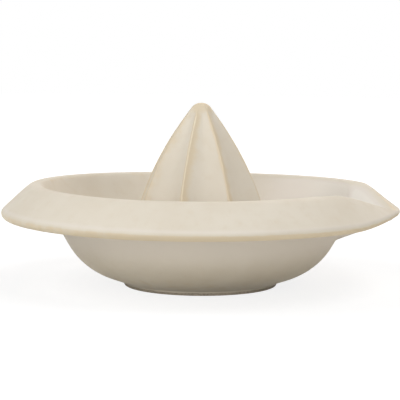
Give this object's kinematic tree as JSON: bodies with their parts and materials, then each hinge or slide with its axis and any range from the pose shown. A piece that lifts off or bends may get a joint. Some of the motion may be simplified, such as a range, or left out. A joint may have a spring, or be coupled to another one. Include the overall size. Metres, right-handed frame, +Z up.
{
  "type": "citrus juicer",
  "caption": "Glazed stoneware citrus juicer: a fluted reamer cone in a round footed dish whose folded rim is drawn into a pouring spout.",
  "frame": {"origin": "centre of the round dish, on the table plane under the foot ring", "axes": "+Z up along the reamer's axis, +X towards the spout's tip, +Y to the left of the spout seen from behind it"},
  "size_m": [0.1982, 0.198, 0.0909],
  "materials": {
    "glaze": "satin ivory glaze that breaks tan on edges",
    "bare_clay": "matt, wiped bare of glaze under the foot"
  },
  "bodies": {
    "root": {"foot_ring": "bare_clay", "bowl": "glaze", "rim": "glaze", "spout": "glaze", "reamer": "glaze"}
  },
  "joints": []
}
